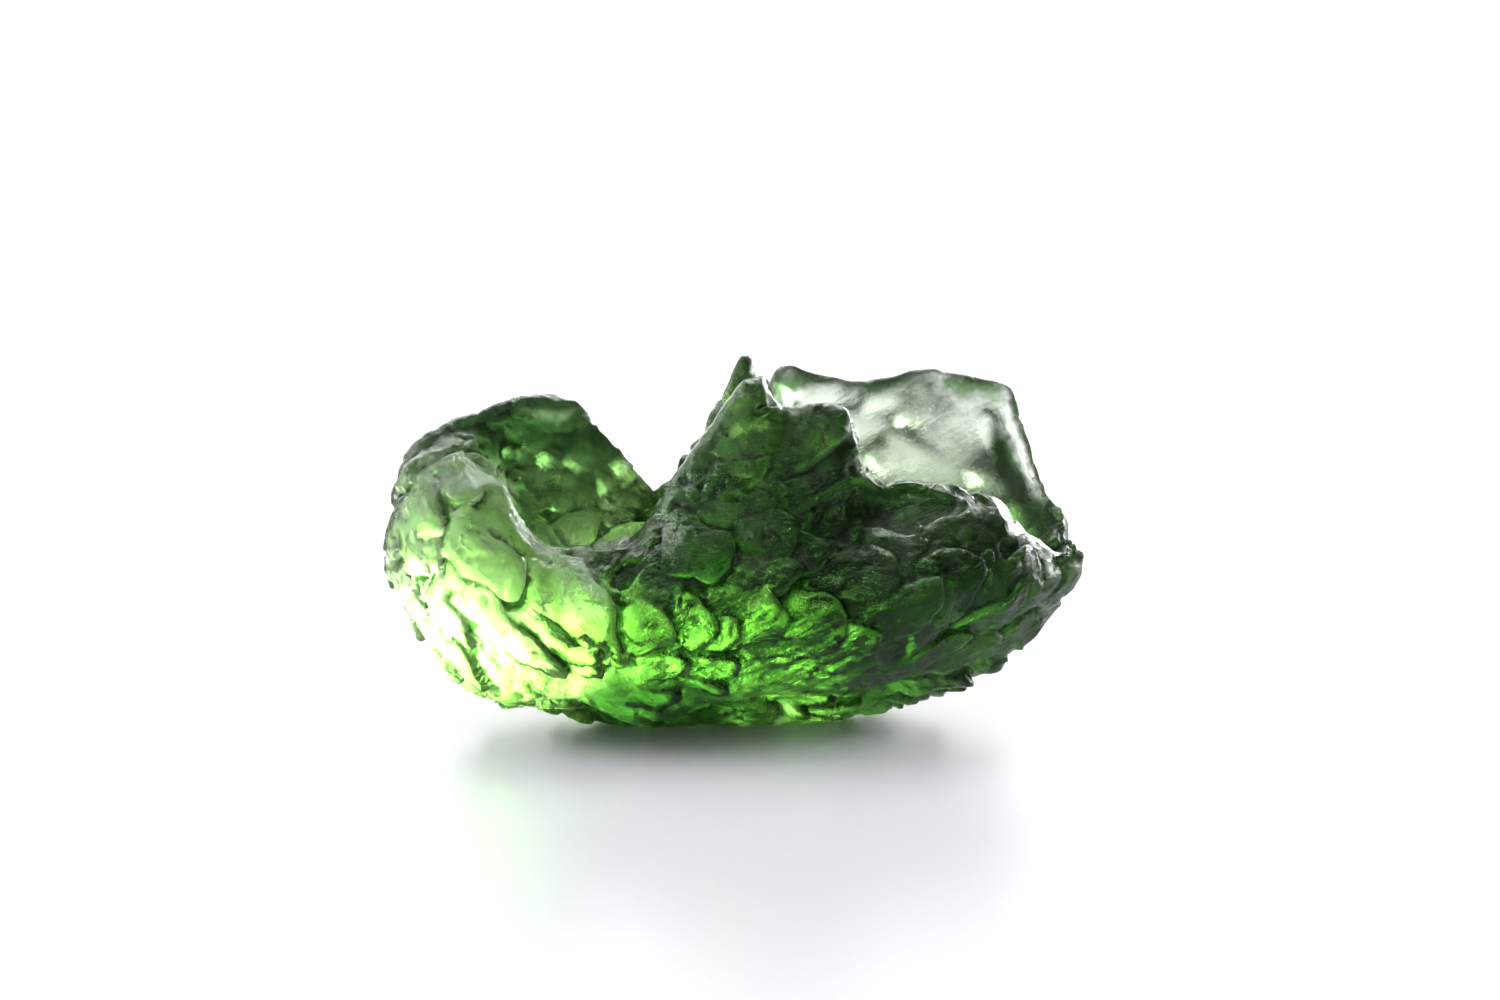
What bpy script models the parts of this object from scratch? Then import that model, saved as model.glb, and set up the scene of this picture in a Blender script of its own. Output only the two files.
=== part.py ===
"""Moldavite: one piece of natural green glass, an open bowl with thick walls and a torn, peaked rim.

The stone's own frame: +X runs to the right along its showy front, +Y goes from the front to the back,
and +Z is up from the small flat spot that it rests on. The sizes below are in millimetres and degrees.
"""

import math
import random

import bmesh
import bpy
import numpy as np
from mathutils import Vector, noise
from mathutils.bvhtree import BVHTree

MM = 0.001

# Driving dimensions
LEFT_END, RIGHT_END = -13.8, 13.8
STATIONS = 130
SECTION_POINTS = 72
SKIN_VOXEL, ETCHED_VOXEL = 0.25, 0.2
FACES_KEPT = 9000
SEED = 11

# The lines that the stone is drawn through, from the left end to the right end, as (x, y, z)
FRONT_RIM = [
    (-13.8, -0.4, 7.7), (-13.1, -2.0, 9.2), (-12.0, -3.0, 10.2), (-10.5, -3.4, 10.8),
    (-9.3, -3.7, 10.7), (-8.8, -3.9, 10.3), (-8.3, -4.1, 9.2), (-7.6, -4.4, 8.2),
    (-6.9, -4.5, 8.0), (-5.4, -4.7, 8.3), (-3.9, -4.8, 8.7), (-3.3, -4.8, 9.5),
    (-2.8, -4.8, 10.5), (-1.7, -4.6, 12.0), (-0.8, -4.4, 13.1), (0.0, -4.2, 14.2),
    (0.5, -4.1, 14.8), (1.4, -4.0, 14.9), (1.9, -4.0, 13.8), (2.7, -4.0, 13.2),
    (3.8, -4.0, 13.2), (4.7, -3.9, 12.6), (5.3, -3.7, 11.4), (5.9, -3.3, 10.4),
    (6.7, -2.9, 10.4), (7.7, -2.8, 10.3), (9.1, -2.6, 9.8), (10.3, -2.4, 9.4),
    (11.2, -2.1, 8.7), (12.7, -1.4, 7.7), (13.6, -0.7, 7.3), (13.8, -0.2, 6.8),
]
BACK_RIM = [
    (-13.8, 0.4, 7.6), (-13.5, 0.8, 9.4), (-12.8, 1.2, 11.0), (-11.7, 1.6, 11.7),
    (-10.1, 2.0, 12.4), (-8.5, 2.4, 12.8), (-7.3, 2.7, 12.9), (-5.9, 3.0, 12.4),
    (-5.1, 3.2, 11.4), (-4.3, 3.2, 10.3), (-3.6, 3.2, 9.3), (-2.9, 3.0, 8.8),
    (-2.2, 2.8, 9.2), (-1.4, 2.7, 10.5), (-0.75, 2.6, 11.7), (-0.25, 2.5, 12.9),
    (0.05, 2.5, 13.8), (0.25, 2.5, 14.9), (1.0, 2.6, 14.9), (1.2, 3.0, 13.8),
    (1.4, 3.8, 12.0), (1.7, 4.5, 13.6), (2.4, 5.0, 13.7), (3.3, 5.4, 13.3),
    (4.8, 5.8, 13.1), (6.4, 6.0, 13.15), (7.2, 6.0, 13.5), (8.1, 6.0, 13.9),
    (9.2, 5.8, 13.6), (10.3, 5.5, 13.3), (11.5, 5.0, 12.9), (11.85, 4.7, 12.1),
    (12.3, 4.2, 10.5), (12.85, 3.4, 9.0), (13.4, 2.2, 8.1), (13.7, 1.2, 7.5),
    (13.8, 0.4, 7.0),
]
HOLLOW = [
    (-13.8, 0.0, 7.7), (-12.7, -0.6, 10.6), (-10.6, -0.6, 11.2), (-9.4, -0.5, 10.2),
    (-8.6, -0.4, 7.8), (-7.0, -0.4, 5.7), (-4.0, -0.3, 4.7), (0.0, 0.3, 4.4),
    (4.0, 0.9, 4.4), (8.0, 1.4, 4.8), (10.4, 1.4, 5.5), (12.0, 1.0, 6.3),
    (13.3, 0.4, 6.9), (13.8, 0.1, 6.9),
]
FRONT_SHOULDER = [
    (-13.8, -0.4, 7.1), (-13.1, -2.7, 7.9), (-12.0, -4.4, 8.7), (-10.0, -5.6, 8.7),
    (-8.6, -6.0, 7.6), (-7.0, -6.2, 6.9), (-5.0, -6.6, 7.1), (-3.0, -6.8, 8.0),
    (-1.0, -6.8, 9.0), (1.0, -6.6, 9.7), (3.0, -6.4, 9.9), (4.0, -6.2, 9.8),
    (4.8, -6.1, 8.9), (5.9, -6.0, 8.4), (7.1, -5.8, 8.2), (8.5, -5.2, 8.4),
    (9.7, -4.3, 8.8), (10.7, -3.6, 8.8), (12.0, -2.7, 8.0), (13.1, -1.6, 7.4),
    (13.8, -0.3, 6.7),
]
FRONT_BELLY = [
    (-13.8, -0.3, 6.5), (-13.2, -3.0, 6.2), (-11.2, -5.6, 5.7), (-8.0, -7.2, 5.0),
    (-4.0, -8.2, 4.8), (0.0, -8.5, 5.0), (4.0, -8.2, 5.4), (8.0, -7.0, 5.8),
    (11.2, -5.1, 6.1), (13.3, -2.6, 6.4), (13.8, -0.3, 6.4),
]
BACK_BELLY = [
    (-13.8, 0.3, 6.6), (-13.2, 2.8, 6.6), (-11.2, 4.9, 6.2), (-8.0, 6.2, 6.0),
    (-4.0, 6.5, 5.8), (0.0, 7.2, 6.0), (4.0, 8.2, 6.4), (8.0, 8.4, 6.8),
    (11.2, 7.0, 7.0), (13.3, 3.8, 6.9), (13.8, 0.5, 6.6),
]
BACK_SHOULDER = [
    (-13.8, 0.4, 7.2), (-13.1, 2.4, 8.6), (-11.5, 4.0, 9.6), (-8.0, 4.9, 10.0),
    (-5.5, 5.1, 9.3), (-3.2, 5.1, 8.0), (-1.5, 5.1, 8.8), (0.4, 5.4, 10.1),
    (1.3, 5.8, 10.0), (2.6, 6.6, 10.2), (6.0, 7.6, 10.2), (9.5, 7.2, 10.4),
    (11.5, 5.8, 9.7), (12.7, 4.0, 8.2), (13.8, 0.4, 6.8),
]
FRONT_LIP = [
    (-13.8, -0.2, 6.3), (-13.2, -1.9, 5.0), (-12.0, -3.1, 3.4), (-10.2, -4.2, 1.9),
    (-8.5, -4.9, 1.6), (-6.3, -5.2, 1.5), (-3.7, -5.4, 1.0), (-1.3, -5.7, 1.6),
    (1.1, -5.8, 2.1), (3.9, -5.6, 2.3), (6.0, -5.0, 2.5), (8.5, -3.9, 3.0),
    (10.8, -2.7, 3.9), (12.6, -1.6, 5.0), (13.7, -0.5, 5.9), (13.8, -0.1, 6.3),
]
KEEL = [
    (-13.8, 0.0, 6.2), (-13.6, -0.2, 5.4), (-13.2, -0.4, 4.5), (-12.6, -0.6, 3.6),
    (-11.3, -0.9, 2.1), (-10.0, -1.0, 1.2), (-7.7, -1.0, 0.7), (-6.3, -0.9, 0.3),
    (-4.9, -0.8, 0.0), (-3.7, -0.7, -0.15), (0.0, -0.4, -0.25), (3.0, -0.2, -0.2),
    (5.0, 0.0, 0.1), (7.2, 0.1, 0.8), (8.8, 0.2, 1.4), (9.8, 0.2, 2.0),
    (10.8, 0.2, 2.8), (12.3, 0.2, 3.9), (13.3, 0.1, 5.0), (13.7, 0.0, 5.6),
    (13.8, 0.0, 6.2),
]
# How far the underside steps in below the front lip, as (x, in, up)
UNDERCUT = [
    (-13.8, 0.05, 0.0), (-11.0, 0.2, 0.0), (-8.0, 0.8, 0.15), (-5.0, 1.0, 0.2),
    (-3.0, 1.1, 0.25), (0.0, 1.3, 0.1), (3.5, 1.2, -0.1), (6.0, 0.5, -0.2),
    (10.0, 0.3, -0.15), (13.8, 0.05, 0.0),
]
# Half the thickness of the torn rim, as (x, front, back)
RIM_HALF = [
    (-13.8, 0.2, 0.2), (-11.0, 0.5, 0.5), (-8.5, 0.45, 0.6), (-6.5, 0.45, 0.55),
    (-3.5, 0.4, 0.4), (-0.5, 0.4, 0.4), (0.6, 0.45, 0.55), (1.4, 0.45, 0.35),
    (3.5, 0.4, 0.35), (6.5, 0.4, 0.4), (10.5, 0.35, 0.45), (13.0, 0.3, 0.25),
    (13.8, 0.12, 0.12),
]

# Scales on the front, as seen from the front and a little above: (x, up, length, width, turn,
# height). The one with a height below 0 is a scoop.
VIEW_TILT = 10.0
FRONT_SCALES = [
    (-9.6, 6.6, 4.4, 2.2, -43, 0.55), (-5.9, 4.9, 4.8, 2.5, -42, 0.65),
    (-8.7, 3.6, 5.0, 1.7, -40, 0.55), (-7.5, 7.3, 3.6, 1.1, -45, 0.4),
    (-11.2, 4.4, 3.6, 1.9, -48, 0.45), (-11.9, 7.2, 2.6, 1.5, -50, 0.35),
    (-10.6, 2.3, 3.0, 1.4, -35, 0.4), (-6.3, 2.9, 2.6, 1.0, -20, 0.35),
    (-1.3, 6.9, 3.8, 3.0, -22, 0.55), (-3.4, 3.7, 2.0, 1.9, -25, 0.45),
    (-1.5, 3.9, 1.9, 2.1, -15, 0.45), (-0.3, 3.6, 1.2, 1.4, 0, 0.35),
    (1.1, 4.3, 2.7, 2.1, -5, 0.5), (1.5, 5.8, 3.2, 1.9, 5, 0.5),
    (1.6, 7.3, 2.3, 2.4, 15, 0.45), (3.0, 6.8, 1.6, 2.0, 10, 0.35),
    (-4.6, 3.0, 1.8, 1.2, -35, 0.35), (-5.6, 2.2, 1.8, 1.0, -10, 0.35),
    (-2.6, 2.3, 2.1, 1.2, 0, 0.4), (-0.6, 2.3, 2.4, 1.3, 12, 0.4),
    (-3.0, 1.2, 1.9, 0.9, -15, 0.35), (-0.9, 1.5, 1.8, 0.9, 10, 0.35),
    (3.1, 4.1, 2.8, 2.8, 10, 0.4), (4.5, 3.1, 3.2, 2.4, 25, 0.35),
    (5.2, 6.0, 3.0, 2.6, 30, 0.3), (6.9, 4.6, 3.4, 2.2, 32, 0.3),
    (8.9, 5.7, 3.0, 2.4, 30, 0.3), (7.6, 2.6, 4.2, 1.4, 35, 0.35),
    (10.3, 4.2, 3.8, 1.3, 38, 0.35), (11.6, 6.2, 2.4, 1.6, 35, 0.3),
    (0.2, 9.7, 3.4, 1.1, 32, 0.16), (-1.2, 9.2, 2.4, 0.9, 30, 0.14),
    (2.6, 9.4, 2.6, 1.0, 30, 0.15), (0.6, 11.8, 2.4, 0.8, 35, 0.14),
    (2.9, 11.3, 2.2, 0.9, 40, 0.14), (2.5, 0.9, 3.2, 1.3, 5, 0.35),
    (-10.4, 9.2, 1.8, 1.4, -60, 0.35), (-4.6, 7.0, 2.0, 1.0, 20, 0.25),
    (5.9, 8.3, 6.4, 2.1, -12, -0.5),
]
# Round pits on the front: (x, up, radius, depth)
FRONT_PITS = [
    (-4.0, 5.75, 0.6, 0.3), (8.95, 5.7, 0.7, 0.25), (4.2, 7.9, 1.0, 0.25),
    (11.0, 7.0, 0.7, 0.2), (-12.3, 5.8, 0.6, 0.25), (6.3, 2.9, 0.8, 0.2),
]
# The scales on the sides, the back, the underside and in the hollow are spread by chance. Each
# lies where a line in to a point of the heart of the stone first meets its skin.
OTHER_SCALES = 420
HEART_LOW, HEART_HIGH = (-11, -2, 5), (11, 3, 9)
SCALE_LENGTH = (1.6, 4.2)
SCALE_WIDTH = (0.4, 0.75)  # of its length
SCALE_HEIGHT = (0.22, 0.5)
LEFT_TURN, RIGHT_TURN, TURN_SPREAD = -35, 30, 18
PIT_SHARE, PIT_WIDTH, PIT_DEPTH = 0.18, 0.8, 0.7  # of the scales, and of a scale's length and height
BLUNT_ACROSS, BLUNT_ALONG = 1.4, 1.7  # 2 gives a round end, and 1 a sharp point
SWAY, SWAY_SIZE = 0.5, 1.7  # how far the outlines of the scales wander, and over what length
BROAD_LUMP, BROAD_HEIGHT = 4.5, 0.5
GROOVE_CLIMB, GROOVE_FROM, GROOVE_FADE = 33, 2.0, 5.0
GROOVE_ALONG, GROOVE_ACROSS, GROOVE_DEPTH = 5.0, 1.1, 0.16
SKIN_LEVEL = 0.15  # how deep the plain skin lies below the line that the scales stand on
MOST_OF_WALL = 0.22  # no scale or pit is more than this share of the wall that it is on
PLAIN_BASE = 0.8  # the scales fade out this far above the flat spot
FAR = 60


def hermite(knots, points, tangents, where):
    """Points at where on the cubic that has these tangents at the knots."""
    step = np.diff(knots)
    i = np.clip(np.searchsorted(knots, where, side="right") - 1, 0, len(step) - 1)
    u = ((where - knots[i]) / step[i])[:, None]
    h = step[i][:, None]
    return (
        (1 + 2 * u) * (1 - u) ** 2 * points[i]
        + u * (1 - u) ** 2 * h * tangents[i]
        + u**2 * (3 - 2 * u) * points[i + 1]
        + u**2 * (u - 1) * h * tangents[i + 1]
    )


def turn_of(x):
    """Where x lies between the blunt ends, as an angle, so that a line can leave an end steeply."""
    middle, half = (LEFT_END + RIGHT_END) / 2, (RIGHT_END - LEFT_END) / 2
    return np.arccos(np.clip((middle - x) / half, -1, 1))


def x_of(turns):
    middle, half = (LEFT_END + RIGHT_END) / 2, (RIGHT_END - LEFT_END) / 2
    return middle - half * np.cos(turns)


def along_line(line, turns):
    """The two values of a line at each turn, with no overshoot between its points."""
    line = np.array(line)
    knots = turn_of(line[:, 0])
    points = line[:, 1:]
    slope = np.diff(points, axis=0) / np.diff(knots)[:, None]
    before, after = slope[:-1], slope[1:]
    product = before * after
    total = np.where(product > 0, before + after, 1.0)
    tangents = np.vstack([slope[:1], np.where(product > 0, 2 * product / total, 0.0), slope[-1:]])
    return hermite(knots, points, tangents, turns)


def closed_curve(points, count):
    """count points on the smooth closed curve through the given ones."""
    points = np.array(points)
    ring = np.vstack([points[-2:], points, points[:3]])
    chords = np.linalg.norm(np.diff(ring, axis=0), axis=1)
    knots = np.concatenate([[0], np.cumsum(np.sqrt(chords + 0.01))])
    tangents = np.gradient(ring, knots, axis=0)
    where = np.linspace(knots[2], knots[2 + len(points)], count, endpoint=False)
    return hermite(knots, ring, tangents, where)


def between(a, b, across, up):
    """The point that is that share of the way from a to b, across and up."""
    return (a[0] + (b[0] - a[0]) * across, a[1] + (b[1] - a[1]) * up)


def section(rim, back_rim, hollow, shoulder, belly, back_shoulder, back_belly, lip, keel, undercut, rim_half):
    """One closed cut across the stone: down the front, under it, up the back and through the hollow."""
    front_half, back_half = rim_half
    return closed_curve(
        [
            (rim[0] - front_half, rim[1] - 0.5 * front_half),
            shoulder,
            belly,
            lip,
            (lip[0] + undercut[0], lip[1] + undercut[1]),
            keel,
            between(back_belly, keel, 0.25, 0.72),
            back_belly,
            back_shoulder,
            (back_rim[0] + back_half, back_rim[1] - 0.5 * back_half),
            (back_rim[0] - back_half, back_rim[1] - 0.2 * back_half),
            between(back_rim, hollow, 0.2, 0.5),
            between(back_rim, hollow, 0.55, 0.88),
            hollow,
            between(rim, hollow, 0.5, 0.85),
            between(rim, hollow, 0.25, 0.45),
            (rim[0] + front_half, rim[1] - 0.2 * front_half),
        ],
        SECTION_POINTS,
    )


def lofted_bowl():
    """The stone before its surface was etched: sections through the lines, skinned end to end."""
    end_turn = 0.03
    turns = np.linspace(end_turn, math.pi - end_turn, STATIONS)
    lines = (
        FRONT_RIM, BACK_RIM, HOLLOW, FRONT_SHOULDER, FRONT_BELLY, BACK_SHOULDER, BACK_BELLY,
        FRONT_LIP, KEEL, UNDERCUT, RIM_HALF,
    )
    loops = [section(*points) for points in zip(*[along_line(line, turns) for line in lines])]
    bm = bmesh.new()
    rows = [
        [bm.verts.new((x * MM, y * MM, z * MM)) for y, z in loop] for x, loop in zip(x_of(turns), loops)
    ]
    for row, following in zip(rows, rows[1:]):
        for i in range(SECTION_POINTS):
            j = (i + 1) % SECTION_POINTS
            bm.faces.new((row[i], following[i], following[j], row[j]))
    bm.faces.new(rows[0])
    bm.faces.new(rows[-1][::-1])
    bmesh.ops.recalc_face_normals(bm, faces=bm.faces)
    mesh = bpy.data.meshes.new("moldavite")
    bm.to_mesh(mesh)
    bm.free()
    return mesh


def applied(obj):
    """The object's mesh with its modifiers applied, which then replaces its mesh."""
    graph = bpy.context.evaluated_depsgraph_get()
    mesh = bpy.data.meshes.new_from_object(obj.evaluated_get(graph))
    obj.modifiers.clear()
    obj.data = mesh
    return mesh


def reskinned(obj, voxel):
    """The object's mesh with an even skin, which has no folds through itself."""
    skin = obj.modifiers.new("even_skin", "REMESH")
    skin.mode = "VOXEL"
    skin.voxel_size = voxel * MM
    return applied(obj)


def arrays_of(mesh):
    """The points and normals of the mesh, in millimetres."""
    points = np.empty(len(mesh.vertices) * 3)
    mesh.vertices.foreach_get("co", points)
    normals = np.empty(len(mesh.vertices) * 3)
    mesh.vertex_normals.foreach_get("vector", normals)
    return points.reshape(-1, 3) / MM, normals.reshape(-1, 3)


def scale_at(tree, start, direction, length, width, turn, height):
    """A scale where the line from start in that direction meets the stone, or None if it misses."""
    place, normal, _, _ = tree.ray_cast(start, direction)
    if place is None:
        return None
    side = normal.orthogonal() if abs(normal.z) > 0.97 else Vector((0, 0, 1)).cross(normal)
    side.normalize()
    up = normal.cross(side)
    angle = math.radians(turn)
    along = side * math.cos(angle) + up * math.sin(angle)
    across = normal.cross(along)
    return [np.array(v) for v in (place, normal, along, across)] + [length / 2, width / 2, height]


def front_scales(tree):
    tilt = math.radians(VIEW_TILT)
    sight = Vector((0, math.cos(tilt), -math.sin(tilt)))
    upward = Vector((0, math.sin(tilt), math.cos(tilt)))
    for x, up, length, width, turn, height in FRONT_SCALES:
        start = Vector((x, 0, 0)) + upward * up - sight * FAR
        yield scale_at(tree, start, sight, length, width, turn, height)
    for x, up, radius, depth in FRONT_PITS:
        start = Vector((x, 0, 0)) + upward * up - sight * FAR
        yield scale_at(tree, start, sight, 2 * radius, 2 * radius, 0, -depth)


def other_scales(tree):
    chance = random.Random(SEED)
    for _ in range(OTHER_SCALES):
        level = chance.uniform(-1, 1)
        round_z = chance.uniform(0, math.tau)
        out = Vector((math.cos(round_z), math.sin(round_z), 0)) * math.sqrt(1 - level**2)
        out.z = level
        heart = Vector([chance.uniform(low, high) for low, high in zip(HEART_LOW, HEART_HIGH)])
        length = chance.uniform(*SCALE_LENGTH)
        width = length * chance.uniform(*SCALE_WIDTH)
        turn = chance.gauss(LEFT_TURN if out.x < 0 else RIGHT_TURN, TURN_SPREAD)
        height = chance.uniform(*SCALE_HEIGHT)
        if chance.random() < PIT_SHARE:
            length = width = length * PIT_WIDTH
            height *= -PIT_DEPTH
        on_front = out.y < -0.35 and out.z > -0.6
        if not on_front:
            yield scale_at(tree, heart + out * FAR, -out, length, width, turn, height)


def scale_relief(points, normals, scales):
    """How far each point rises: the highest scale that covers it, less the deepest pit.

    A scale grows out of the skin at its upper end and stands free at its lower, blunt end.
    """
    noise.seed_set(SEED)
    points = points + SWAY * np.array([noise.noise_vector(p / SWAY_SIZE) for p in points])
    rise = np.zeros(len(points))
    sink = np.zeros(len(points))
    for place, normal, along, across, half_length, half_width, height in scales:
        away = points - place
        u = away @ along / half_length
        v = away @ across / half_width
        if height > 0:
            edge = np.abs(v) ** BLUNT_ACROSS + np.maximum(u, 0) ** BLUNT_ALONG
        else:
            edge = v**2 + u**2
        on = (edge < 1) & (u > -1) & (np.abs(away @ normal) < half_length) & (normals @ normal > 0.3)
        if height > 0:
            lift = ((u[on] + 1) / 2) ** 0.8 * (1 - 0.4 * v[on] ** 2) * (1 - edge[on] ** 4)
            rise[on] = np.maximum(rise[on], height * lift)
        else:
            sink[on] = np.minimum(sink[on], height * (1 - edge[on]) ** 0.6)
    return rise + sink


def noise_relief(points, normals):
    """Broad lumps all over, and grooves that run up to the right under the right-hand end."""
    rise = np.zeros(len(points))
    climb = math.radians(GROOVE_CLIMB)
    for i, (x, y, z) in enumerate(points):
        lump = noise.noise(Vector((x, y, z)) / BROAD_LUMP + Vector((3.1, 0.4, 7.7)))
        run = x * math.cos(climb) + z * math.sin(climb)
        climb_off = z * math.cos(climb) - x * math.sin(climb)
        groove = noise.noise((run / GROOVE_ALONG, y / GROOVE_ACROSS / 2, climb_off / GROOVE_ACROSS))
        under = min(max(0.6 - normals[i][2] - z / 14, 0), 1)
        right = min(max((x - GROOVE_FROM) / GROOVE_FADE, 0), 1)
        rise[i] = BROAD_HEIGHT * lump + GROOVE_DEPTH * right * under * (1 - 3 * abs(groove))
    return rise


def wall_depth(tree, points, normals):
    """How much glass there is behind each point of the skin."""
    inside = 0.02
    depth = np.full(len(points), 9.0)
    for i, (point, normal) in enumerate(zip(points, normals)):
        place, _, _, distance = tree.ray_cast(Vector(point - inside * normal), Vector(-normal))
        if place is not None:
            depth[i] = distance
    return depth


def etch(mesh):
    """Raises the scales and lumps of the stone's skin, and leaves the bottom plain."""
    points, normals = arrays_of(mesh)
    faces = [tuple(face.vertices) for face in mesh.polygons]
    tree = BVHTree.FromPolygons([Vector(p) for p in points], faces)
    scales = [s for s in [*front_scales(tree), *other_scales(tree)] if s]
    rise = scale_relief(points, normals, scales) + noise_relief(points, normals) - SKIN_LEVEL
    most = MOST_OF_WALL * wall_depth(tree, points, normals)
    rise = np.clip(rise, -most, most) * np.clip(points[:, 2] / PLAIN_BASE, 0, 1)
    points += normals * rise[:, None]
    mesh.vertices.foreach_set("co", (points * MM).ravel())
    mesh.update()


def flatten_base(mesh):
    """Cuts the small flat spot and sets the middle of it all over the origin."""
    bm = bmesh.new()
    bm.from_mesh(mesh)
    everything = bm.verts[:] + bm.edges[:] + bm.faces[:]
    bmesh.ops.bisect_plane(
        bm, geom=everything, dist=1e-6, plane_co=(0, 0, 0), plane_no=(0, 0, -1), clear_outer=True
    )
    open_edges = [edge for edge in bm.edges if edge.is_boundary]
    bmesh.ops.holes_fill(bm, edges=open_edges, sides=0)
    bmesh.ops.triangulate(bm, faces=bm.faces)
    bmesh.ops.recalc_face_normals(bm, faces=bm.faces)
    spots = np.array([vert.co for vert in bm.verts])
    low, high = spots.min(axis=0), spots.max(axis=0)
    shift = (-(low[0] + high[0]) / 2, -(low[1] + high[1]) / 2, -low[2])
    bmesh.ops.translate(bm, verts=bm.verts, vec=shift)
    bm.to_mesh(mesh)
    bm.free()


def green_glass():
    glass = bpy.data.materials.new("bottle green glass")
    glass.use_nodes = True
    shader = glass.node_tree.nodes["Principled BSDF"]
    shader.inputs["Base Color"].default_value = (0.10, 0.32, 0.06, 1)
    shader.inputs["Roughness"].default_value = 0.2
    shader.inputs["Metallic"].default_value = 0
    shader.inputs["Transmission Weight"].default_value = 1
    shader.inputs["IOR"].default_value = 1.49
    return glass


def main():
    for old in list(bpy.data.objects):
        bpy.data.objects.remove(old)
    stone = bpy.data.objects.new("moldavite", lofted_bowl())
    bpy.context.scene.collection.objects.link(stone)
    etch(reskinned(stone, SKIN_VOXEL))
    reskinned(stone, ETCHED_VOXEL)
    thin = stone.modifiers.new("fewer_faces", "DECIMATE")
    thin.ratio = FACES_KEPT / (2 * len(stone.data.polygons))
    mesh = applied(stone)
    flatten_base(mesh)
    mesh.materials.append(green_glass())


main()
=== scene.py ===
"""Moldavite: natural green glass with an etched, scaly skin, lying on a white table in soft back light.

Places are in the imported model's frame: +X to the right along the showy front, +Y to the back, +Z up.
Shape sizes are in millimetres and degrees, and lights and the camera are in metres.
"""

import math
import random

import bmesh
import bpy
import numpy as np
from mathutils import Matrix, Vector, noise
from mathutils.bvhtree import BVHTree


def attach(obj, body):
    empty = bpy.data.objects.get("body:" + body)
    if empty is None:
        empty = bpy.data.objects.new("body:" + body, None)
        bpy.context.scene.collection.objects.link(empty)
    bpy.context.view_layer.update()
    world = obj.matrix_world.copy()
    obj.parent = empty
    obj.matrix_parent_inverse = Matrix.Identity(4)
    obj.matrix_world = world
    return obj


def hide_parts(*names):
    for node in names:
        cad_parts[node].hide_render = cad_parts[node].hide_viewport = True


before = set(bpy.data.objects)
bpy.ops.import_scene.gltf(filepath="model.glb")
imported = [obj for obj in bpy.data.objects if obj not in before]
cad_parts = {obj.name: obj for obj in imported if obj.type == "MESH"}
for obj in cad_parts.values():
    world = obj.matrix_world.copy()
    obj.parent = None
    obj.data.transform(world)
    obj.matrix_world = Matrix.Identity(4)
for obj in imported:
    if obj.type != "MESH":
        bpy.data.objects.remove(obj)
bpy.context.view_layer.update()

MM = 0.001

# The skin of the fine stone: the width of its faces before they are thinned out, and how it is evened
FINE_VOXEL = 0.09
COARSE_VOXEL = 0.4
MOST_FACES = 196000
CALM_ROUNDS, PUSH_BACK = 30, 0.53
CLEAN_CALM_ROUNDS, CLEAN_PUSH_BACK = 60, 0.5
COARSE_CALM_ROUNDS, COARSE_PUSH_BACK = 25, 0.2

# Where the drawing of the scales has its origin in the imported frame, and how it is looked at
DRAWN_AT = Vector((-0.050, 0.129, 0))
VIEW_TILT = 10.0
FAR = 60  # past the stone, so that a line from there meets its outside first

# Scales on the front, as seen from the front and a little above: (x, up, length, width, turn,
# height). The one with a height below 0 is a scoop.
FRONT_SCALES = [
    (-9.6, 6.6, 4.4, 2.2, -43, 0.55), (-5.9, 4.9, 4.8, 2.5, -42, 0.65),
    (-8.7, 3.6, 5.0, 1.7, -40, 0.55), (-7.5, 7.3, 3.6, 1.1, -45, 0.4),
    (-11.2, 4.4, 3.6, 1.9, -48, 0.45), (-11.9, 7.2, 2.6, 1.5, -50, 0.35),
    (-10.6, 2.3, 3.0, 1.4, -35, 0.4), (-6.3, 2.9, 2.6, 1.0, -20, 0.35),
    (-1.3, 6.9, 3.8, 3.0, -22, 0.55), (-3.4, 3.7, 2.0, 1.9, -25, 0.45),
    (-1.5, 3.9, 1.9, 2.1, -15, 0.45), (-0.3, 3.6, 1.2, 1.4, 0, 0.35),
    (1.1, 4.3, 2.7, 2.1, -5, 0.5), (1.5, 5.8, 3.2, 1.9, 5, 0.5),
    (1.6, 7.3, 2.3, 2.4, 15, 0.45), (3.0, 6.8, 1.6, 2.0, 10, 0.35),
    (-4.6, 3.0, 1.8, 1.2, -35, 0.35), (-5.6, 2.2, 1.8, 1.0, -10, 0.35),
    (-2.6, 2.3, 2.1, 1.2, 0, 0.4), (-0.6, 2.3, 2.4, 1.3, 12, 0.4),
    (-3.0, 1.2, 1.9, 0.9, -15, 0.35), (-0.9, 1.5, 1.8, 0.9, 10, 0.35),
    (3.1, 4.1, 2.8, 2.8, 10, 0.4), (4.5, 3.1, 3.2, 2.4, 25, 0.35),
    (5.2, 6.0, 3.0, 2.6, 30, 0.3), (6.9, 4.6, 3.4, 2.2, 32, 0.3),
    (8.9, 5.7, 3.0, 2.4, 30, 0.3), (7.6, 2.6, 4.2, 1.4, 35, 0.35),
    (10.3, 4.2, 3.8, 1.3, 38, 0.35), (11.6, 6.2, 2.4, 1.6, 35, 0.3),
    (0.2, 9.7, 3.4, 1.1, 32, 0.16), (-1.2, 9.2, 2.4, 0.9, 30, 0.14),
    (2.6, 9.4, 2.6, 1.0, 30, 0.15), (0.6, 11.8, 2.4, 0.8, 35, 0.14),
    (2.9, 11.3, 2.2, 0.9, 40, 0.14), (2.5, 0.9, 3.2, 1.3, 5, 0.35),
    (-10.4, 9.2, 1.8, 1.4, -60, 0.35), (-4.6, 7.0, 2.0, 1.0, 20, 0.25),
    (5.9, 8.3, 6.4, 2.1, -12, -0.5),
]
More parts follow.
